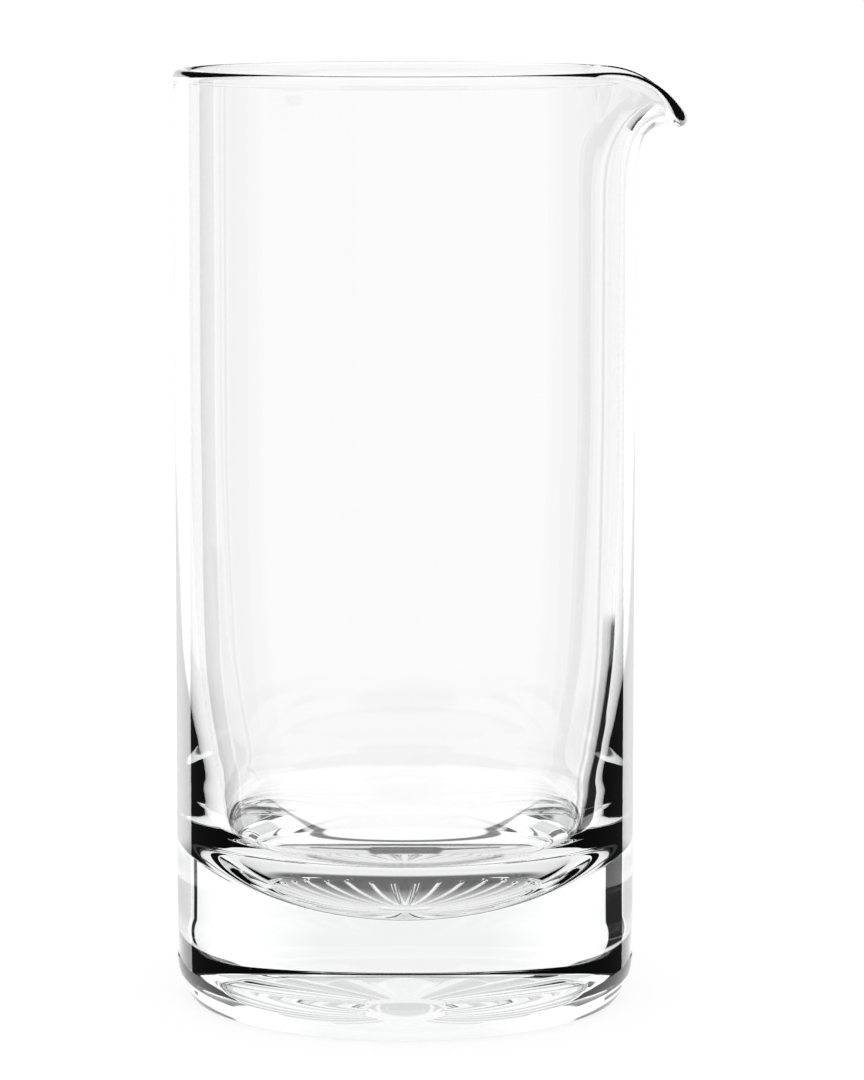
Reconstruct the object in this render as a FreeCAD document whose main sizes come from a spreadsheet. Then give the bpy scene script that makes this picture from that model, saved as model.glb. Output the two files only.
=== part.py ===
import FreeCAD, Part
import math
import os
from FreeCAD import Placement, Rotation, Vector

# Mixing glass: a tall straight-sided glass with a heavy rayed base, a rounded
# rim bead and one pulled pouring lip. Millimetres, +Z up, the origin is on the
# axis in the plane of the foot ring, and the lip points along +X.

doc = FreeCAD.newDocument("mixing_glass")

# ---------------------------------------------------------------- dimensions
dims = doc.addObject("Spreadsheet::Sheet", "dims")
CELLS = [
    # whole glass
    ("outer_radius", 44.0),
    ("total_height", 178.0),
    ("seam_height", 44.0),
    # heavy base, underside
    ("foot_round", 12.0),
    ("foot_height", 7.3),
    ("foot_edge", 0.3),
    ("recess_radius", 26.0),
    ("recess_depth", 0.6),
    ("recess_round", 0.5),
    # heavy base, floor of the cavity
    ("floor_height", 17.0),
    ("seam_inner_radius", 37.35),
    ("knuckle_top_radius", 35.9),
    ("knuckle_top_height", 34.4),
    ("knuckle_round", 6.5),
    ("lower_wall_round", 600.0),
    # rays of the star
    ("ray_count", 24),
    ("ray_start", 4.0),
    ("ray_end", 25.0),
    ("ray_slope_cone", 9.4),
    ("ray_slope_axis", 5.75),
    ("hub_radius", 6.0),
    ("hub_depth", 0.9),
    # wall and rim
    ("bore_radius", 41.0),
    ("bore_bottom", 113.0),
    ("bend_radius", 39.9),
    ("bend_height", 68.0),
    ("bead_radius", 1.55),
    # pouring lip
    ("lip_zone_bottom", 153.0),
    ("lip_half_angle", 34.0),
    ("lip_reach", 9.6),
    ("lip_drop", 7.95),
]
for row, (name, value) in enumerate(CELLS, start=1):
    dims.set("A%d" % row, name)
    dims.set("B%d" % row, repr(value))
    dims.setAlias("B%d" % row, name)
doc.recompute()


def val(name):
    return float(dims.get(name))


R = val("outer_radius")
H = val("total_height")
Z_SEAM = val("seam_height")


# ------------------------------------------------------------------- helpers
def origin_plane(body, role):
    for feature in body.Origin.OriginFeatures:
        if feature.Role == role:
            return feature
    raise RuntimeError("no " + role)


def new_sketch(body, name):
    sketch = body.newObject("Sketcher::SketchObject", name)
    sketch.AttachmentSupport = [(origin_plane(body, "XZ_Plane"), "")]
    sketch.MapMode = "FlatFace"
    return sketch


class Profile:
    """A closed chain of lines and arcs in a sketch, joined end to end, whose
    sizes are constraints bound to the sheet."""

    def __init__(self, sketch):
        self.sketch = sketch
        self.ends = []

    def line(self, a, b):
        i = self.sketch.addGeometry(
            Part.LineSegment(Vector(a[0], a[1], 0), Vector(b[0], b[1], 0)), False
        )
        self.ends.append((i, 1, 2))
        return i

    def arc(self, centre, radius, a, b, ccw):
        """From a to b round the centre. The sketch keeps its arcs
        anticlockwise, so a clockwise one is stored from b to a."""
        t0 = math.atan2(a[1] - centre[1], a[0] - centre[0])
        t1 = math.atan2(b[1] - centre[1], b[0] - centre[0])
        if not ccw:
            t0, t1 = t1, t0
        while t1 < t0:
            t1 += 2 * math.pi
        circle = Part.Circle(Vector(centre[0], centre[1], 0), Vector(0, 0, 1), radius)
        i = self.sketch.addGeometry(Part.ArcOfCircle(circle, t0, t1), False)
        self.ends.append((i, 1, 2) if ccw else (i, 2, 1))
        return i

    def close(self, tangent=()):
        """Joins each piece's end to the next one's start. A joint that is in
        tangent, by the index of the piece before it, is a smooth one."""
        n = len(self.ends)
        for k in range(n):
            i, _, end = self.ends[k]
            j, start, _ = self.ends[(k + 1) % n]
            kind = "Tangent" if k in tangent else "Coincident"
            self.sketch.addConstraint(Sketcher.Constraint(kind, i, end, j, start))

    def bind(self, kind, args, value, name, expression):
        c = self.sketch.addConstraint(Sketcher.Constraint(kind, *args, value))
        self.sketch.renameConstraint(c, name)
        self.sketch.setExpression("Constraints." + name, expression)

    def at(self, piece, end, x=None, y=None):
        """Holds a point of the profile at distances from the axis and the
        foot plane. x and y are each (value, name, expression)."""
        i = self.ends[piece][0]
        pos = self.ends[piece][end]
        if x is not None:
            self.bind("DistanceX", (-1, 1, i, pos), x[0], x[1], x[2])
        if y is not None:
            self.bind("DistanceY", (-1, 1, i, pos), y[0], y[1], y[2])


import Sketcher

# ============================================================== heavy_base
# One revolved profile: recessed underside, flat foot ring, rounded foot corner,
# outer wall up to the seam, then down the inside to the bowl-shaped floor.
base = doc.addObject("PartDesign::Body", "heavy_base")
base.Label = "heavy_base"
base.Placement = Placement(Vector(0, 0, 0), Rotation())
base_sketch = new_sketch(base, "base_profile")

rec_r, rec_d, rec_f = val("recess_radius"), val("recess_depth"), val("recess_round")
# The foot corner is an arc that leaves the wall smoothly and is cut off by the
# flat of the foot ring, with a small round along the edge between them.
fr, fh, fe = val("foot_round"), val("foot_height"), val("foot_edge")
cfoot = (R - fr, fh)
cedge = (R - fr + math.sqrt((fr - fe) ** 2 - (fh - fe) ** 2), fe)
sedge = (
    cfoot[0] + (cedge[0] - cfoot[0]) * fr / (fr - fe),
    cfoot[1] + (cedge[1] - cfoot[1]) * fr / (fr - fe),
)
zf = val("floor_height")
s3 = (val("seam_inner_radius"), Z_SEAM)
s2 = (val("knuckle_top_radius"), val("knuckle_top_height"))
rk = val("knuckle_round")

# Wall curves. Above the seam, two arcs lean in from the straight bore; below
# it one more arc carries on in the same direction down to the knuckle.
zb, rb = val("bend_height"), val("bend_radius")
z4, r4 = val("bore_bottom"), val("bore_radius")
rho_top = ((r4 - rb) ** 2 + (z4 - zb) ** 2) / (2 * (r4 - rb))
lean_bend = math.asin((z4 - zb) / rho_top)
lean_above = 2 * math.atan2(rb - s3[0], zb - s3[1]) - lean_bend
rho_wall = val("lower_wall_round")
chord = math.atan2(s3[0] - s2[0], s3[1] - s2[1])
turn = math.asin(math.hypot(s3[0] - s2[0], s3[1] - s2[1]) / 2 / rho_wall)
lean_seam, lean_s2 = chord - turn, chord + turn
print("lean at the seam, above %.2f and below %.2f" % (math.degrees(lean_above), math.degrees(lean_seam)))


def arc_between(a, b, lean_a):
    """Centre and radius of the arc that leaves a, heading down at lean_a from
    the vertical towards the axis, and ends at b. Its centre is on the axis'
    side when it turns towards the axis."""
    tx, tz = -math.sin(lean_a), -math.cos(lean_a)
    nx, nz = tz, -tx
    dx, dz = b[0] - a[0], b[1] - a[1]
    k = (dx * dx + dz * dz) / (2 * (dx * nx + dz * nz))
    return (a[0] + nx * k, a[1] + nz * k), abs(k)


c_wall, rho_wall = arc_between(s3, s2, lean_seam)

print("lower wall arc radius %.3f, lean at the seam %.3f" % (rho_wall, math.degrees(lean_seam)))

# knuckle, then a floor arc centred on the axis
ck = (s2[0] - rk * math.cos(lean_s2), s2[1] + rk * math.sin(lean_s2))
a_ = ck[0]
b_ = ck[1] - zf
rho_floor = (a_ * a_ + b_ * b_ - rk * rk) / (2 * (b_ - rk))
cf = (0.0, zf + rho_floor)
d = math.hypot(ck[0] - cf[0], ck[1] - cf[1])
s1 = (
    ck[0] + (ck[0] - cf[0]) / d * rk,
    ck[1] + (ck[1] - cf[1]) / d * rk,
)

p = Profile(base_sketch)
p.line((0, rec_d), (rec_r - rec_f, rec_d))  # 0 recess roof
p.arc(
    (rec_r - rec_f, rec_d - rec_f), rec_f, (rec_r - rec_f, rec_d), (rec_r, rec_d - rec_f), False
)  # 1 rounded edge of the recess
p.line((rec_r, rec_d - rec_f), (rec_r, 0))  # 2 recess side
p.line((rec_r, 0), (cedge[0], 0))  # 3 foot ring
p.arc(cedge, fe, (cedge[0], 0), sedge, True)  # 4 edge of the ring
p.arc(cfoot, fr, sedge, (R, fh), True)  # 5 foot corner
p.line((R, fh), (R, Z_SEAM))  # 6 outer wall
p.line((R, Z_SEAM), s3)  # 7 seam face
p.arc(c_wall, rho_wall, s3, s2, c_wall[0] > s3[0])  # 8 lower wall
p.arc(ck, rk, s2, s1, False)  # 9 knuckle
p.arc(cf, rho_floor, s1, (0, zf), False)  # 10 floor
p.line((0, zf), (0, rec_d))  # 11 axis
p.close(tangent=(0, 1, 3, 4, 5, 8, 9))
sk = base_sketch
for piece, kind in ((0, "Horizontal"), (2, "Vertical"), (3, "Horizontal"), (6, "Vertical"), (7, "Horizontal"), (11, "Vertical")):
    sk.addConstraint(Sketcher.Constraint(kind, p.ends[piece][0]))
sk.addConstraint(Sketcher.Constraint("PointOnObject", p.ends[10][0], 3, -2))
sk.addConstraint(Sketcher.Constraint("PointOnObject", p.ends[11][0], 1, -2))
p.at(0, 2, y=(rec_d, "recess_roof", "dims.recess_depth"))
p.bind("Radius", (p.ends[1][0],), rec_f, "recess_edge", "dims.recess_round")
p.at(2, 1, x=(rec_r, "recess_edge_radius", "dims.recess_radius"))
sk.addConstraint(Sketcher.Constraint("PointOnObject", p.ends[3][0], 1, -1))
p.bind("Radius", (p.ends[4][0],), fe, "ring_edge_round", "dims.foot_edge")
p.bind("Radius", (p.ends[5][0],), fr, "foot_corner_round", "dims.foot_round")
p.at(6, 1, x=(R, "outer_wall", "dims.outer_radius"), y=(fh, "foot_corner_top", "dims.foot_height"))
p.at(7, 1, y=(Z_SEAM, "seam_plane", "dims.seam_height"))
p.at(8, 1, x=(s3[0], "seam_inside", "dims.seam_inner_radius"))
p.at(9, 1, x=(s2[0], "knuckle_x", "dims.knuckle_top_radius"), y=(s2[1], "knuckle_z", "dims.knuckle_top_height"))
p.bind("Radius", (p.ends[9][0],), rk, "knuckle_arc", "dims.knuckle_round")
p.at(11, 1, y=(zf, "floor_low_point", "dims.floor_height"))
p.bind("Radius", (p.ends[8][0],), rho_wall, "lower_wall_arc", "dims.lower_wall_round")
doc.recompute()
print("base profile solved:", sk.solve(), "full", sk.FullyConstrained, "redundant", sk.RedundantConstraints, sk.ConflictingConstraints)

base_rev = base.newObject("PartDesign::Revolution", "base_revolve")
base_rev.Profile = base_sketch
base_rev.ReferenceAxis = (base_sketch, ["V_Axis"])
base_rev.Angle = 360.0
base_sketch.Visibility = False
doc.recompute()
vol_plain = base_rev.Shape.Volume

# Star of round-bottomed rays: each one is a slim cone lying nearly flat below
# the recess roof, with a rounded outer end.
ray_sketch = new_sketch(base, "ray_profile")
g_cone = math.radians(val("ray_slope_cone"))
g_axis = math.radians(val("ray_slope_axis"))
r_in, r_out = val("ray_start"), val("ray_end")
apex = (0.0, rec_d)


def along(t, off):
    """A point at distance t along the ray's axis and off above it."""
    ax, az = math.cos(g_axis), -math.sin(g_axis)
    return (apex[0] + ax * t - az * off * 1.0, apex[1] + az * t + ax * off)


t_end = (r_out - 3.0) / math.cos(g_axis)
q = Profile(ray_sketch)
P0 = along(r_in, 0)
P1 = along(r_in, r_in * math.tan(g_cone))
P2 = along(t_end, t_end * math.tan(g_cone))
P3 = along(t_end + t_end * math.tan(g_cone), 0)
q.line(P0, P1)
q.line(P1, P2)
cc = along(t_end, 0)
rr = t_end * math.tan(g_cone)
q.arc(cc, rr, P2, P3, False)
q.line(P3, P0)
q.close()
ray_sketch.addConstraint(Sketcher.Constraint("Perpendicular", q.ends[0][0], q.ends[3][0]))
ray_sketch.addConstraint(Sketcher.Constraint("PointOnObject", q.ends[2][0], 3, q.ends[3][0]))
doc.recompute()
ray = base.newObject("PartDesign::Groove", "ray_cut")
ray.Profile = ray_sketch
ray.ReferenceAxis = (ray_sketch, ["Edge4"])
ray.Angle = 360.0
ray_sketch.Visibility = False
doc.recompute()
vol_one = ray.Shape.Volume
star = base.newObject("PartDesign::PolarPattern", "ray_star")
star.Originals = [ray]
star.Axis = (origin_plane(base, "Z_Axis"), [""])
star.Angle = 360.0
star.Occurrences = int(val("ray_count"))
star.setExpression("Occurrences", "dims.ray_count")
base.Tip = star
doc.recompute()
vol_star = star.Shape.Volume

# shallow round hub where the rays meet
hub_sketch = new_sketch(base, "hub_profile")
hr, hd = val("hub_radius"), val("hub_depth")
hub_rho = (hr * hr + hd * hd) / (2 * hd)
h = Profile(hub_sketch)
top = (0.0, rec_d + hd)
edge = (hr, rec_d)
low = (hr, rec_d - 0.3)
h.line((0, rec_d - 0.3), low)
h.line(low, edge)
h.arc((0, rec_d + hd - hub_rho), hub_rho, edge, top, True)
h.line(top, (0, rec_d - 0.3))
h.close()
for piece, kind in ((0, "Horizontal"), (1, "Vertical"), (3, "Vertical")):
    hub_sketch.addConstraint(Sketcher.Constraint(kind, h.ends[piece][0]))
hub_sketch.addConstraint(Sketcher.Constraint("PointOnObject", h.ends[2][0], 3, -2))
hub_sketch.addConstraint(Sketcher.Constraint("PointOnObject", h.ends[3][0], 1, -2))
h.at(1, 1, x=(hr, "hub_edge", "dims.hub_radius"), y=(rec_d - 0.3, "hub_low", "dims.recess_depth - 0.3"))
h.at(2, 1, y=(rec_d, "hub_roof", "dims.recess_depth"))
h.at(3, 1, y=(rec_d + hd, "hub_top", "dims.recess_depth + dims.hub_depth"))
doc.recompute()
hub = base.newObject("PartDesign::Groove", "hub_cut")
hub.Profile = hub_sketch
hub.ReferenceAxis = (hub_sketch, ["V_Axis"])
hub.Angle = 360.0
hub_sketch.Visibility = False
base.Tip = hub
doc.recompute()
print("volumes: plain %.1f, one ray %.1f, star %.1f, hub %.1f" % (vol_plain, vol_one, vol_star, hub.Shape.Volume))

# ============================================================== glass_body
# The wall and rim bead are one revolved profile. The lip's sector of the rim
# is left out of it and filled by a free-form piece of the same wall.
blank = doc.addObject("PartDesign::Body", "wall_blank")
blank.Label = "wall_blank"
wall_sketch = new_sketch(blank, "wall_profile")
br = val("bead_radius")
bead = (r4 + br, H - br)
join_dz = math.sqrt(br * br - (R - bead[0]) ** 2)
join = (R, bead[1] - join_dz)
c_low, rho_low = arc_between((rb, zb), s3, lean_bend)
c_top, rho_top2 = (r4 - rho_top, z4), rho_top
w = Profile(wall_sketch)
w.line(s3, (R, Z_SEAM))  # 0 seam face
w.line((R, Z_SEAM), join)  # 1 outer wall
w.arc(bead, br, join, (r4, bead[1]), True)  # 2 rim bead
w.line((r4, bead[1]), (r4, z4))  # 3 straight bore
w.arc(c_top, rho_top, (r4, z4), (rb, zb), False)  # 4 gentle curve
w.arc(c_low, rho_low, (rb, zb), s3, False)  # 5 steeper curve
w.close(tangent=(2, 3, 4))
ws = wall_sketch
for piece, kind in ((0, "Horizontal"), (1, "Vertical"), (3, "Vertical")):
    ws.addConstraint(Sketcher.Constraint(kind, w.ends[piece][0]))
w.at(0, 1, x=(s3[0], "seam_inside", "dims.seam_inner_radius"), y=(Z_SEAM, "seam_plane", "dims.seam_height"))
w.at(1, 1, x=(R, "outer_wall", "dims.outer_radius"))
w.bind("Radius", (w.ends[2][0],), br, "bead_round", "dims.bead_radius")
i_bead = w.ends[2][0]
w.bind("DistanceY", (-1, 1, i_bead, 3), bead[1], "bead_height", "dims.total_height - dims.bead_radius")
w.at(3, 1, x=(r4, "bore_wall", "dims.bore_radius"))
w.at(4, 1, y=(z4, "bore_end", "dims.bore_bottom"))
w.at(5, 1, x=(rb, "bend_x", "dims.bend_radius"), y=(zb, "bend_z", "dims.bend_height"))
doc.recompute()
print("wall profile solved:", ws.solve(), "full", ws.FullyConstrained, "redundant", ws.RedundantConstraints, ws.ConflictingConstraints)
wall_rev = blank.newObject("PartDesign::Revolution", "wall_revolve")
wall_rev.Profile = wall_sketch
wall_rev.ReferenceAxis = (wall_sketch, ["V_Axis"])
wall_rev.Angle = 360.0
wall_sketch.Visibility = False
doc.recompute()

# sector of the rim that the lip takes, cut out as a wedge
half = math.radians(val("lip_half_angle"))
z_lip = val("lip_zone_bottom")
far = 60.0
gap_sketch = blank.newObject("Sketcher::SketchObject", "lip_gap")
gap_sketch.AttachmentSupport = [(origin_plane(blank, "XY_Plane"), "")]
gap_sketch.MapMode = "FlatFace"
gap_sketch.AttachmentOffset = Placement(Vector(0, 0, z_lip), Rotation())
gap_sketch.setExpression("AttachmentOffset.Base.z", "dims.lip_zone_bottom")
k = Profile(gap_sketch)
c1 = (far * math.cos(half), -far * math.sin(half))
c2 = (far * math.cos(half), far * math.sin(half))
k.line((0, 0), c1)
k.line(c1, c2)
k.line(c2, (0, 0))
k.close()
gap_sketch.addConstraint(Sketcher.Constraint("Coincident", k.ends[0][0], 1, -1, 1))
gap_sketch.addConstraint(Sketcher.Constraint("Vertical", k.ends[1][0]))
gap_sketch.addConstraint(Sketcher.Constraint("Equal", k.ends[0][0], k.ends[2][0]))
k.bind("Distance", (k.ends[0][0],), far, "wedge_reach", "dims.outer_radius + 16")
k.bind(
    "Angle",
    (k.ends[0][0], 1, k.ends[2][0], 2),
    2 * half,
    "wedge_angle",
    "2 * dims.lip_half_angle * 1 deg",
)
doc.recompute()
gap = blank.newObject("PartDesign::Pocket", "lip_gap_cut")
gap.Profile = gap_sketch
gap.Type = "Length"
gap.Length = 40.0
gap.Reversed = True
gap_sketch.Visibility = False
doc.recompute()
print("wedge removed: %.1f mm3" % (wall_rev.Shape.Volume - gap.Shape.Volume))


def lip_bump(phi):
    """1 on the lip's centre line, falling smoothly to 0 where the rim is
    round again."""
    u = min(abs(phi) / half, 1.0)
    return math.cos(math.pi * u / 2) ** 2


T = (R - r4) / 2
MID = r4 + T


def lip_section(phi):
    """Centre line of the wall at azimuth phi, as four Bezier points (radius,
    height): straight up where there is no lip, bent over outwards on the
    lip's centre line."""
    b = lip_bump(phi)
    z_end = bead[1] - val("lip_drop") * b ** 2.2
    r_end = MID + val("lip_reach") * b
    third = (bead[1] - z_lip) / 3
    p0 = (MID, z_lip)
    p1 = (MID, z_lip + third + b * (167.2 - z_lip - third))
    p2 = (MID + 1.7 * b, bead[1] - third + b * (168.6 - bead[1] + third))
    return p0, p1, p2, (r_end, z_end)


def bezier(pts, t):
    m = 1 - t
    x = m ** 3 * pts[0][0] + 3 * m * m * t * pts[1][0] + 3 * m * t * t * pts[2][0] + t ** 3 * pts[3][0]
    z = m ** 3 * pts[0][1] + 3 * m * m * t * pts[1][1] + 3 * m * t * t * pts[2][1] + t ** 3 * pts[3][1]
    dx = 3 * (m * m * (pts[1][0] - pts[0][0]) + 2 * m * t * (pts[2][0] - pts[1][0]) + t * t * (pts[3][0] - pts[2][0]))
    dz = 3 * (m * m * (pts[1][1] - pts[0][1]) + 2 * m * t * (pts[2][1] - pts[1][1]) + t * t * (pts[3][1] - pts[2][1]))
    n = math.hypot(dx, dz)
    return (x, z), (dx / n, dz / n)


N_SIDE = 14


def section_wire(phi):
    """Closed outline of the wall and bead at azimuth phi."""
    pts = lip_section(phi)
    c, s = math.cos(phi), math.sin(phi)

    def place(r, z):
        return Vector(r * c, r * s, z)

    end, tan = bezier(pts, 1.0)
    nrm = (tan[1], -tan[0])  # towards the outside of the glass
    centre = (end[0] + nrm[0] * (br - T), end[1] + nrm[1] * (br - T))
    outer, inner = [], []
    # the outer side stops where it meets the bead
    t_join = 1.0
    for n in range(60):
        (x, z), tg = bezier(pts, t_join)
        o = (x + tg[1] * T, z - tg[0] * T)
        dist = math.hypot(o[0] - centre[0], o[1] - centre[1])
        if dist >= br - 1e-12:
            break
        t_join -= 0.002
    lo, hi = t_join, min(t_join + 0.002, 1.0)
    for n in range(60):
        tm = (lo + hi) / 2
        (x, z), tg = bezier(pts, tm)
        o = (x + tg[1] * T, z - tg[0] * T)
        if math.hypot(o[0] - centre[0], o[1] - centre[1]) >= br:
            lo = tm
        else:
            hi = tm
    t_join = lo
    for n in range(N_SIDE + 1):
        (x, z), tg = bezier(pts, t_join * n / N_SIDE)
        outer.append(place(x + tg[1] * T, z - tg[0] * T))
        (x, z), tg = bezier(pts, 1.0 * n / N_SIDE)
        inner.append(place(x - tg[1] * T, z + tg[0] * T))
    co = Part.BSplineCurve()
    co.interpolate(outer)
    ci = Part.BSplineCurve()
    ci.interpolate(list(reversed(inner)))
    far_pt = place(centre[0] + tan[0] * br, centre[1] + tan[1] * br)
    bead_arc = Part.Arc(outer[-1], far_pt, inner[-1])
    return Part.Wire(
        [
            co.toShape(),
            bead_arc.toShape(),
            ci.toShape(),
            Part.LineSegment(inner[0], outer[0]).toShape(),
        ]
    )


steps = 16
wires = [section_wire(-half + 2 * half * n / steps) for n in range(steps + 1)]
lip_shape = Part.makeLoft(wires, True, False)
if lip_shape.ShapeType != "Solid":
    lip_shape = lip_shape.Solids[0]
lip = doc.addObject("Part::Feature", "pouring_lip")
lip.Shape = lip_shape
lip.Placement = Placement(Vector(0, 0, 0), Rotation())
print("lip valid", lip_shape.isValid(), "volume %.1f" % lip_shape.Volume)

glass = doc.addObject("Part::Fuse", "glass_body")
glass.Label = "glass_body"
glass.Base = blank
glass.Tool = lip
glass.Refine = False
doc.recompute()

# ------------------------------------------------------------------- checks
bad = [o.Name for o in doc.Objects if "Invalid" in o.State or "Error" in o.State]
if bad:
    raise RuntimeError("failed objects: " + ", ".join(bad))
for name, total in (("heavy_base", 1), ("glass_body", 1)):
    shape = doc.getObject(name).Shape
    if shape.isNull() or not shape.isValid() or len(shape.Solids) != total:
        raise RuntimeError("%s: null %s valid %s solids %d" % (name, shape.isNull(), shape.isValid(), len(shape.Solids)))
    bb = shape.optimalBoundingBox(False)
    print("%s volume %.1f box %.2f %.2f %.2f to %.2f %.2f %.2f faces %d" % (name, shape.Volume, bb.XMin, bb.YMin, bb.ZMin, bb.XMax, bb.YMax, bb.ZMax, len(shape.Faces)))
if not (vol_star < vol_one < vol_plain):
    raise RuntimeError("the rays cut nothing")

# ------------------------------------------------------------------- export
os.makedirs("parts", exist_ok=True)
for name in ("heavy_base", "glass_body"):
    part = doc.getObject(name)
    part.Shape.exportStep(os.path.join("parts", part.Label + ".step"))
print("written")
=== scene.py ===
import math

import bpy
import numpy as np
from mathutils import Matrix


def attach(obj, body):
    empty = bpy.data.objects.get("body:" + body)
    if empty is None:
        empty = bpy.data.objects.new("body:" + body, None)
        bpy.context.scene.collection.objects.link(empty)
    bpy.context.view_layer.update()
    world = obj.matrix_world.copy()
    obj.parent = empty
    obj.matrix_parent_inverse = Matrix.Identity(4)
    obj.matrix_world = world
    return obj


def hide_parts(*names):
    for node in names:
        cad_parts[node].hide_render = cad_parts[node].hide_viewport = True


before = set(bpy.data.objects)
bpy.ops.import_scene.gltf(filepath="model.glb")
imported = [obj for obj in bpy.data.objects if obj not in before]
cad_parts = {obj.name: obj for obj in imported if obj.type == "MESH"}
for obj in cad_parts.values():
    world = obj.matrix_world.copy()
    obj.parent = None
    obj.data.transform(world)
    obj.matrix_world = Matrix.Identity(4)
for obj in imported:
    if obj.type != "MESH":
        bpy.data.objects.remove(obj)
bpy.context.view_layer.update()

scene = bpy.context.scene

# ------------------------------------------------------------------ dimensions
# Millimetres, the same values as the CAD model's.
R = 44.0  # outer wall
H = 178.0  # top of the rim
FOOT_R, FOOT_H = 12.0, 7.3  # round of the foot corner and the height it starts at
REC_R, REC_D, REC_F = 26.0, 0.6, 0.5  # recess under the foot
EDGE_R = 0.3  # small round between the foot corner and the flat it stands on
FLOOR_Z = 17.0
SEAM = (37.35, 44.0)
KNUCKLE_TOP = (35.9, 34.4)
KNUCKLE_R = 6.5
LOW_WALL_R = 600.0
BEND = (39.9, 68.0)
BORE_R, BORE_Z = 41.0, 113.0
BEAD = 1.55
LIP_Z = 153.0
LIP_HALF = math.radians(34.0)
LIP_REACH, LIP_DROP = 9.6, 7.95
N_RAYS = 24
RAY_END = 25.0
CONE, AXIS = math.radians(9.4), math.radians(5.75)
HUB_R, HUB_D = 6.0, 0.9
T = (R - BORE_R) / 2
MID = BORE_R + T
BEAD_Z = H - BEAD


# ------------------------------------------------------------- cavity profile
def cavity_profile():
    """The inside from the axis up to the straight bore, as a list of (radius,
    height) points. The arcs are the CAD model's; smooth_resample then spaces
    them evenly and smooths them so that the curvature has no steps."""
    s3, s2, rk, zf = SEAM, KNUCKLE_TOP, KNUCKLE_R, FLOOR_Z
    r4, z4 = BORE_R, BORE_Z
    rb, zb = BEND
    chord = math.atan2(s3[0] - s2[0], s3[1] - s2[1])
    turn = math.asin(math.hypot(s3[0] - s2[0], s3[1] - s2[1]) / 2 / LOW_WALL_R)
    lean2 = chord + turn
    ck = (s2[0] - rk * math.cos(lean2), s2[1] + rk * math.sin(lean2))
    b = ck[1] - zf
    rho = (ck[0] ** 2 + b * b - rk * rk) / (2 * (b - rk))
    cf = (0.0, zf + rho)
    dist = math.hypot(ck[0], ck[1] - cf[1])
    s1 = (ck[0] + ck[0] / dist * rk, ck[1] + (ck[1] - cf[1]) / dist * rk)
    pts = []
    a1 = math.atan2(s1[0], cf[1] - s1[1])
    for i in range(400):
        a = a1 * i / 400
        pts.append((rho * math.sin(a), cf[1] - rho * math.cos(a)))
    k0 = math.atan2(s1[1] - ck[1], s1[0] - ck[0])
    k1 = math.atan2(s2[1] - ck[1], s2[0] - ck[0])
    for i in range(200):
        a = k0 + (k1 - k0) * i / 200
        pts.append((ck[0] + rk * math.cos(a), ck[1] + rk * math.sin(a)))

    def arc(p, q, lean_q, n):
        # from p up to q, leaning lean_q from the vertical at q
        tx, tz = -math.sin(lean_q), -math.cos(lean_q)
        nx, nz = tz, -tx
        dx, dz = p[0] - q[0], p[1] - q[1]
        k = (dx * dx + dz * dz) / (2 * (dx * nx + dz * nz))
        c = (q[0] + nx * k, q[1] + nz * k)
        a0 = math.atan2(p[1] - c[1], p[0] - c[0])
        a1 = math.atan2(q[1] - c[1], q[0] - c[0])
        return [
            (c[0] + abs(k) * math.cos(a0 + (a1 - a0) * i / n), c[1] + abs(k) * math.sin(a0 + (a1 - a0) * i / n))
            for i in range(n)
        ]

    pts += arc(s2, s3, chord - turn, 150)
    rho_top = ((r4 - rb) ** 2 + (z4 - zb) ** 2) / (2 * (r4 - rb))
    lean_b = math.asin((z4 - zb) / rho_top)
    pts += arc(s3, (rb, zb), lean_b, 200)
    for i in range(301):
        z = zb + (z4 - zb) * i / 300
        pts.append((r4 - rho_top + math.sqrt(rho_top ** 2 - (z4 - z) ** 2), z))
    return np.array(pts)


def smooth_resample(pts, spacing, sigma):
    """Even points along a curve, with the curve's corners of curvature eased
    over a length of sigma. The ends stay."""
    d = np.hypot(*np.diff(pts, axis=0).T)
    s = np.concatenate([[0], np.cumsum(d)])
    n = int(round(s[-1] / 0.1))
    e = np.linspace(0, s[-1], n + 1)
    x, z = np.interp(e, s, pts[:, 0]), np.interp(e, s, pts[:, 1])
    w = int(3 * sigma / 0.1)
    g = np.exp(-0.5 * (np.arange(-w, w + 1) * 0.1 / sigma) ** 2)
    g /= g.sum()
    # mirrored past the axis, straight on past the bore
    xe = np.concatenate([-x[w:0:-1], x, np.full(w, x[-1])])
    ze = np.concatenate([z[w:0:-1], z, z[-1] + 0.1 * np.arange(1, w + 1)])
    x, z = np.convolve(xe, g, "valid"), np.convolve(ze, g, "valid")
    x[0] = 0.0
    m = int(round(s[-1] / spacing))
    idx = np.linspace(0, n, m + 1)
    k = np.arange(n + 1)
    return np.stack([np.interp(idx, k, x), np.interp(idx, k, z)], 1)


# ------------------------------------------------------------------ lip
def bump(phi):
    u = np.minimum(np.abs(phi) / LIP_HALF, 1.0)
    return np.cos(np.pi * u / 2) ** 2


def lip_bezier(phi):
    b = bump(phi)
    third = (BEAD_Z - LIP_Z) / 3
    return (
        np.array([MID, LIP_Z]),
        np.array([MID, LIP_Z + third + b * (167.2 - LIP_Z - third)]),
        np.array([MID + 1.7 * b, BEAD_Z - third + b * (168.6 - BEAD_Z + third)]),
        np.array([MID + LIP_REACH * b, BEAD_Z - LIP_DROP * b ** 2.2]),
    )


def bez(p, t):
    m = 1 - t
    q = m ** 3 * p[0] + 3 * m * m * t * p[1] + 3 * m * t * t * p[2] + t ** 3 * p[3]
    d = 3 * (m * m * (p[1] - p[0]) + 2 * m * t * (p[2] - p[1]) + t * t * (p[3] - p[2]))
    return q, d / math.hypot(*d)


N_LIP = 26  # rows up each side of the lip zone
N_BEAD = 22  # rows round the bead


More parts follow.
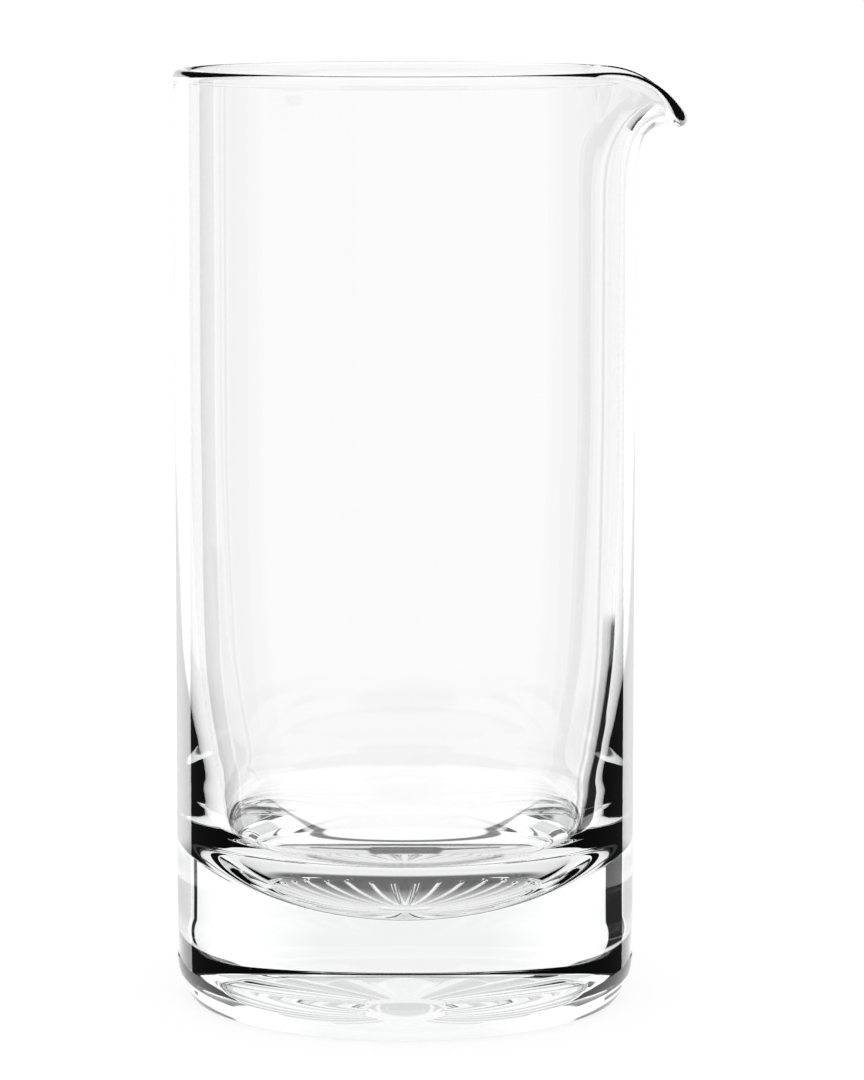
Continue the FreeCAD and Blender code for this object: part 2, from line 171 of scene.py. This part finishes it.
def rim_section(phi):
    """Rows from the outer wall at LIP_Z, over the bead, to the inner wall at
    LIP_Z, as (radius, height)."""
    p = lip_bezier(phi)
    end, tan = bez(p, 1.0)
    nrm = np.array([tan[1], -tan[0]])
    c = end + nrm * (BEAD - T)
    rows = []
    # wall, outer side, up to a short fillet below the bead
    t_stop = 1.0
    for _ in range(400):
        q, tg = bez(p, t_stop)
        o = q + np.array([tg[1], -tg[0]]) * T
        if math.hypot(*(o - c)) > BEAD + 1.0:
            break
        t_stop -= 0.0025
    for i in range(N_LIP):
        q, tg = bez(p, t_stop * i / (N_LIP - 1))
        rows.append(q + np.array([tg[1], -tg[0]]) * T)
    o_end, o_tan = rows[-1], tg
    # bead circle, from below its outer side round to the inner wall
    a_out = -0.30  # angle of the fillet's end on the bead, from nrm towards -tan
    th = np.linspace(a_out, math.pi, N_BEAD + 1)
    circle = [c + BEAD * (math.cos(a) * nrm + math.sin(a) * tan) for a in th]
    # blend from the wall to the bead as a cubic
    t_c = -math.sin(a_out) * nrm + math.cos(a_out) * tan
    L = math.hypot(*(circle[0] - o_end))
    for i in range(1, 6):
        u = i / 6
        h00, h10 = 2 * u ** 3 - 3 * u ** 2 + 1, u ** 3 - 2 * u ** 2 + u
        h01, h11 = -2 * u ** 3 + 3 * u ** 2, u ** 3 - u ** 2
        rows.append(h00 * o_end + h10 * L * o_tan + h01 * circle[0] + h11 * L * t_c)
    rows += circle
    for i in range(1, N_LIP):
        q, tg = bez(p, 1.0 - i / (N_LIP - 1))
        rows.append(q - np.array([tg[1], -tg[0]]) * T)
    return np.array(rows)


# ------------------------------------------------------------------ underside
def ray_depth(r, phi):
    """How deep the star's rays are cut above the recess roof at polar
    coordinates r, phi."""
    pitch = 2 * math.pi / N_RAYS
    a = (phi + pitch / 2) % pitch - pitch / 2
    n = np.floor((phi + pitch / 2) / pitch)
    hand = 0.5 * np.sin(2.4 * n) + 0.3 * np.sin(5.1 * n + 1)  # each cut ends a little differently
    u, v = r * np.cos(a), r * np.sin(a)
    t = u * math.cos(AXIS)
    t_end = (RAY_END - 3.2 + hand) / math.cos(AXIS)
    rho = np.where(t < t_end, t * math.tan(CONE), 0)
    over = t - t_end
    cap = (t_end * math.tan(CONE)) ** 2 - np.maximum(over, 0) ** 2
    rho = np.where(t < t_end, rho, np.sqrt(np.maximum(cap, 0)))
    top = np.sqrt(np.maximum(rho ** 2 - v ** 2, 0))
    # height of the cone's upper side above its own axis, less the axis' depth
    d = top / math.cos(AXIS) - u * math.tan(AXIS)
    return np.maximum(d, 0.0)


def hub_depth(r):
    rho = (HUB_R ** 2 + HUB_D ** 2) / (2 * HUB_D)
    return np.where(r < HUB_R, np.sqrt(np.maximum(rho ** 2 - r ** 2, 0)) - (rho - HUB_D), 0.0)


def soft_max(a, b, k):
    return 0.5 * (a + b + np.sqrt((a - b) ** 2 + k * k)) - 0.5 * k


def under_height(r, phi):
    d = soft_max(ray_depth(r, phi), hub_depth(r), 0.05)
    edge = REC_R
    # the recess' rounded edge falls to the foot ring
    e = np.clip((edge - r) / 1.0, 0, 1)
    e = e * e * (3 - 2 * e)
    return (REC_D + np.maximum(d, 0)) * e


def foot_profile():
    """From the recess' edge out over the ground ring, round its edge and up the
    foot corner to the outer wall, as (radius, height)."""
    end = math.asin(FOOT_H / FOOT_R)  # how far the corner's round has turned where the ring cuts it
    ring_r = R - FOOT_R + FOOT_R * math.cos(end)
    # a small round of the ring's edge, touching the flat and the corner's round
    k = EDGE_R
    cz = k
    cr = R - FOOT_R + math.sqrt((FOOT_R - k) ** 2 - (FOOT_H - k) ** 2)
    out = [(r, 0.0) for r in np.linspace(REC_R + 0.4, cr, 12)]
    a_end = math.atan2(cz - FOOT_H, cr - (R - FOOT_R))
    for a in np.linspace(-math.pi / 2, a_end, 5)[1:]:
        out.append((cr + k * math.cos(a), cz + k * math.sin(a)))
    for a in np.linspace(a_end, 0, 14)[1:]:
        out.append((R - FOOT_R + FOOT_R * math.cos(a), FOOT_H + FOOT_R * math.sin(a)))
    return out


# ------------------------------------------------------------------ mesh
N_PHI = 480
phi = np.arange(N_PHI) * 2 * math.pi / N_PHI
rows = []  # each is (N_PHI, 3) in millimetres


def flow(z):
    """The slight unevenness a blown and fire-finished inner wall has, in
    millimetres along the radius: long runs round the wall that change slowly
    with height, and short ripples just above the knuckle."""
    slow = (
        0.030 * np.cos(3 * phi + 0.7 + z / 31)
        + 0.016 * np.cos(5 * phi - 1.9 - z / 23)
        + 0.005 * np.cos(11 * phi + 2.4 + z / 17)
    )
    near = math.exp(-(((z - 45) / 9) ** 2))
    ripple = 0.003 * np.cos(z * 0.9 + 1.3 * np.cos(2 * phi + 0.4)) + 0.0015 * np.cos(z * 1.7 + 3 * phi)
    return slow + near * ripple


def ring(r, z):
    r, z = np.broadcast_to(r, N_PHI), np.broadcast_to(z, N_PHI)
    return np.stack([r * np.cos(phi), r * np.sin(phi), z], 1)


under_r = np.concatenate([np.linspace(0.35, 6, 14), np.linspace(6.4, REC_R - 1.2, 48), np.linspace(REC_R - 1.0, REC_R, 9)])
for r in under_r:
    rows.append(ring(r, under_height(np.full(N_PHI, r), phi)))
for r, z in foot_profile():
    rows.append(ring(r, z))
for z in np.linspace(FOOT_H, LIP_Z, 34)[1:-1]:
    rows.append(ring(R, z))
sections = np.array([rim_section((p + math.pi) % (2 * math.pi) - math.pi) for p in phi])
for j in range(sections.shape[1]):
    rows.append(ring(sections[:, j, 0], sections[:, j, 1]))
cav = smooth_resample(cavity_profile(), 1.0, 1.6)
z_top = cav[-1, 1]
for z in np.linspace(LIP_Z, z_top, 14)[1:-1]:
    rows.append(ring(BORE_R, z))
for r, z in cav[::-1]:
    if r > 0.3:
        # the wall's unevenness fades out over the bowl and over the straight bore
        w = min(1.0, (r / 30) ** 4) * min(1.0, (z_top - z) / 12)
        rows.append(ring(r + w * flow(z), z))

rows = np.array(rows) / 1000.0
n_rows = len(rows)
pole_low = np.array([0, 0, (REC_D + HUB_D) / 1000.0])
pole_top = np.array([0, 0, cav[0, 1] / 1000.0])
verts = np.concatenate([rows.reshape(-1, 3), [pole_low], [pole_top]])
i_low, i_top = n_rows * N_PHI, n_rows * N_PHI + 1
faces = []
for j in range(n_rows - 1):
    a, b = j * N_PHI, (j + 1) * N_PHI
    for i in range(N_PHI):
        k = (i + 1) % N_PHI
        faces.append((a + i, a + k, b + k, b + i))
for i in range(N_PHI):
    k = (i + 1) % N_PHI
    faces.append((i_low, k, i))
    faces.append((i_top, (n_rows - 1) * N_PHI + i, (n_rows - 1) * N_PHI + k))
me = bpy.data.meshes.new("clear_vessel")
me.from_pydata([tuple(v) for v in verts], [], faces)
me.polygons.foreach_set("use_smooth", [True] * len(me.polygons))
me.update()
glass = bpy.data.objects.new("clear_vessel", me)
scene.collection.objects.link(glass)


# ------------------------------------------------------------------ materials
def glass_material():
    m = bpy.data.materials.new("clear_glass")
    m.use_nodes = True
    nt = m.node_tree
    nt.nodes.clear()
    out = nt.nodes.new("ShaderNodeOutputMaterial")
    p = nt.nodes.new("ShaderNodeBsdfPrincipled")
    p.inputs["Base Color"].default_value = (1, 1, 1, 1)
    p.inputs["Roughness"].default_value = 0.0
    p.inputs["IOR"].default_value = 1.52
    p.inputs["Transmission Weight"].default_value = 1.0
    nt.links.new(p.outputs[0], out.inputs["Surface"])
    # faint waviness of the fire-polished skin
    tc = nt.nodes.new("ShaderNodeTexCoord")
    mp = nt.nodes.new("ShaderNodeMapping")
    mp.inputs["Scale"].default_value = (1.0, 1.0, 0.45)
    nt.links.new(tc.outputs["Object"], mp.inputs["Vector"])
    ns = nt.nodes.new("ShaderNodeTexNoise")
    ns.inputs["Scale"].default_value = 55.0
    ns.inputs["Detail"].default_value = 1.5
    ns.inputs["Roughness"].default_value = 0.4
    nt.links.new(mp.outputs[0], ns.inputs["Vector"])
    bp = nt.nodes.new("ShaderNodeBump")
    bp.inputs["Strength"].default_value = 0.35
    bp.inputs["Distance"].default_value = 0.00004
    nt.links.new(ns.outputs[0], bp.inputs["Height"])
    nt.links.new(bp.outputs[0], p.inputs["Normal"])
    va = nt.nodes.new("ShaderNodeVolumeAbsorption")
    va.inputs["Color"].default_value = (0.90, 0.94, 0.92, 1)
    va.inputs["Density"].default_value = 2.0
    nt.links.new(va.outputs[0], out.inputs["Volume"])
    return m


glass.data.materials.append(glass_material())
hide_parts("heavy_base", "glass_body")
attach(glass, "root")


# ------------------------------------------------------------------ node help
class Nodes:
    """Builds arithmetic in a node tree. Values are sockets or numbers."""

    def __init__(self, nt):
        self.nt = nt

    def put(self, sock, v):
        if isinstance(v, (int, float)):
            sock.default_value = v
        else:
            self.nt.links.new(v, sock)

    def op(self, name, a, b=0.0):
        n = self.nt.nodes.new("ShaderNodeMath")
        n.operation = name
        self.put(n.inputs[0], a)
        self.put(n.inputs[1], b)
        return n.outputs[0]

    def step(self, x, edge, soft):
        """0 below the edge, 1 above it."""
        n = self.nt.nodes.new("ShaderNodeMapRange")
        n.interpolation_type = "SMOOTHSTEP"
        self.put(n.inputs["Value"], x)
        n.inputs["From Min"].default_value = edge - soft / 2
        n.inputs["From Max"].default_value = edge + soft / 2
        return n.outputs[0]

    def band(self, x, a, b, soft):
        return self.op("SUBTRACT", self.step(x, a, soft), self.step(x, b, soft))

    def mul(self, *vs):
        out = vs[0]
        for v in vs[1:]:
            out = self.op("MULTIPLY", out, v)
        return out

    def add(self, *vs):
        out = vs[0]
        for v in vs[1:]:
            out = self.op("ADD", out, v)
        return out

    def blend(self, v, mask, to):
        """v where the mask is 0, to where it is 1."""
        return self.add(v, self.mul(mask, self.op("SUBTRACT", to, v)))

    def line(self, x, x0, x1, y0, y1):
        """Straight from y0 at x0 to y1 at x1, level outside."""
        n = self.nt.nodes.new("ShaderNodeMapRange")
        self.put(n.inputs["Value"], x)
        n.inputs["From Min"].default_value = x0
        n.inputs["From Max"].default_value = x1
        n.inputs["To Min"].default_value = y0
        n.inputs["To Max"].default_value = y1
        return n.outputs[0]


# ------------------------------------------------------------------ floor
def disc(name, radius, z):
    mesh = bpy.data.meshes.new(name)
    n = 96
    vs = [(radius * math.cos(2 * math.pi * i / n), radius * math.sin(2 * math.pi * i / n), z) for i in range(n)]
    mesh.from_pydata(vs, [], [tuple(range(n))])
    ob = bpy.data.objects.new(name, mesh)
    scene.collection.objects.link(ob)
    return ob


def floor_material():
    m = bpy.data.materials.new("pale_floor")
    m.use_nodes = True
    p = m.node_tree.nodes["Principled BSDF"]
    p.inputs["Base Color"].default_value = (0.25, 0.25, 0.25, 1)
    p.inputs["Roughness"].default_value = 0.9
    p.inputs["Specular IOR Level"].default_value = 0.0
    p.inputs["Emission Color"].default_value = (1, 1, 1, 1)
    p.inputs["Emission Strength"].default_value = 0.80
    return m


def painted_under_floor_light():
    """The floor as it is lit through the vessel, painted as emission: painted light under
    the standing ring and a soft painted shade in the recess' front half."""
    m = bpy.data.materials.new("painted_floor_light_under_foot")
    m.use_nodes = True
    nt = m.node_tree
    nt.nodes.clear()
    k = Nodes(nt)
    out = nt.nodes.new("ShaderNodeOutputMaterial")
    em = nt.nodes.new("ShaderNodeEmission")
    nt.links.new(em.outputs[0], out.inputs["Surface"])
    geo = nt.nodes.new("ShaderNodeTexCoord")
    sep = nt.nodes.new("ShaderNodeSeparateXYZ")
    nt.links.new(geo.outputs["Object"], sep.inputs[0])
    x, y = sep.outputs[0], sep.outputs[1]
    r = k.op("SQRT", k.add(k.mul(x, x), k.mul(y, y)))
    # painted shade inside the recess, darkest towards its front, and painted light rising outside it towards
    # the standing ring
    inner = k.op("SUBTRACT", 1.0, k.step(r, 0.0285, 0.003))
    shade = k.line(k.add(y, k.mul(x, x, -15.0)), -0.017, 0.001, 0.14, 0.92)
    v = k.blend(k.line(r, 0.036, 0.044, 0.92, 1.10), inner, shade)
    # painted contact shadow: the dark line where the foot meets the floor, behind the vessel
    painted_contact_shadow = k.mul(k.band(k.add(r, k.mul(x, x, -5.2)), 0.0431, 0.0446, 0.0006), k.step(y, 0.024, 0.008))
    v = k.blend(v, painted_contact_shadow, 0.15)
    k.put(em.inputs["Strength"], v)
    return m


fm = floor_material()
floor = disc("floor", 6.0, -0.0002)
floor.data.materials.append(fm)
floor.visible_transmission = False
floor.visible_glossy = False
# a disc seen only through the glass, which carries the painted light and shade of the floor under the foot
near = disc("floor_near", 0.060, -0.0001)
near.data.materials.append(painted_under_floor_light())
near.visible_camera = False
near.visible_diffuse = False
near.visible_shadow = False

# ------------------------------------------------------------------ world
# A white surround with dark cards that show as the dark lines in clear glass.
# Azimuth is counted from +Y towards +X, elevation from the horizon, in degrees.
world = bpy.data.worlds.new("studio")
scene.world = world
world.use_nodes = True
nt = world.node_tree
nt.nodes.clear()
k = Nodes(nt)
out = nt.nodes.new("ShaderNodeOutputWorld")
bg = nt.nodes.new("ShaderNodeBackground")
nt.links.new(bg.outputs[0], out.inputs["Surface"])
tc = nt.nodes.new("ShaderNodeTexCoord")
sep = nt.nodes.new("ShaderNodeSeparateXYZ")
nt.links.new(tc.outputs["Generated"], sep.inputs[0])
DEG = 180 / math.pi
az = k.mul(k.op("ARCTAN2", sep.outputs["X"], sep.outputs["Y"]), DEG)
el = k.mul(k.op("ARCSINE", sep.outputs["Z"]), DEG)
side = k.op("ABSOLUTE", az)

DARK = 0.02
WHITE, PALE, CEILING = 1.10, 0.80, 0.80
low = k.op("SUBTRACT", 1.0, k.step(el, 8.0, 3.0))
# seen through the glass
t = k.blend(WHITE, k.step(el, -33.0, 6.0), 0.98)
t = k.mul(t, k.line(side, 14.0, 36.0, 1.0, 1.22))
t = k.blend(t, k.mul(low, k.add(k.band(az, 62.5, 92.0, 0.8), k.band(az, -92.0, -67.0, 0.8))), PALE)
cards = k.add(
    k.band(az, -65.5, -51.2, 0.7),
    k.band(az, 56.6, 59.4, 0.5),
)
t = k.blend(t, k.mul(low, cards), DARK)
t = k.blend(t, k.mul(k.op("SUBTRACT", 1.0, k.step(el, -14.3, 0.8)), k.band(az, 38.2, 53.0, 1.0)), DARK)
t = k.blend(t, k.mul(k.op("SUBTRACT", 1.0, k.step(el, -24.0, 2.0)), k.band(az, 36.6, 40.0, 1.0)), DARK)
t = k.blend(t, k.step(el, 35.0, 4.0), CEILING)
t = k.blend(t, k.mul(k.band(el, 13.0, 34.0, 2.0), k.band(side, 39.0, 72.0, 3.0)), 0.08)
t = k.blend(t, k.mul(k.band(el, 6.5, 35.0, 2.0), k.step(side, 95.0, 4.0)), 0.04)
t = k.blend(t, k.mul(k.band(el, 30.0, 58.0, 2.0), k.step(side, 150.0, 4.0)), 0.04)
t = k.blend(t, k.mul(k.band(el, 0.0, 8.0, 1.5), k.step(side, 148.0, 4.0)), 0.04)
# mirrored in the outside
ahead = k.band(az, -43.0, 37.6, 0.6)
glow = k.line(side, 12.0, 39.0, 1.15, 3.0)
glow = k.blend(glow, k.band(el, -13.9, -11.95, 0.3), 1.0)
glow = k.blend(glow, k.band(el, -13.9, -13.0, 0.3), 1.7)
r = k.blend(0.05, ahead, glow)
r = k.blend(r, k.step(el, 13.0, 3.0), 0.02)

lp = nt.nodes.new("ShaderNodeLightPath")
through = lp.outputs["Is Transmission Ray"]
mirrored = k.mul(lp.outputs["Is Glossy Ray"], k.op("SUBTRACT", 1.0, through))
v = k.blend(1.0, through, t)
v = k.blend(v, mirrored, r)
bg.inputs["Color"].default_value = (1, 1, 1, 1)
k.put(bg.inputs["Strength"], v)

# ------------------------------------------------------------------ camera
cam_data = bpy.data.cameras.new("camera")
cam = bpy.data.objects.new("camera", cam_data)
scene.collection.objects.link(cam)
scene.camera = cam
cam_data.sensor_width = 36.0
cam_data.lens = 4468.4 / 1080 * 36.0
cam_data.shift_y = -0.135
cam_data.shift_x = 0.0249
cam.location = (0.0, -0.850, 0.2076)
cam.rotation_euler = (math.radians(90 - 6.166), 0, 0)
cam_data.clip_start, cam_data.clip_end = 0.01, 50.0

scene.view_settings.view_transform = "Standard"
scene.view_settings.look = "None"
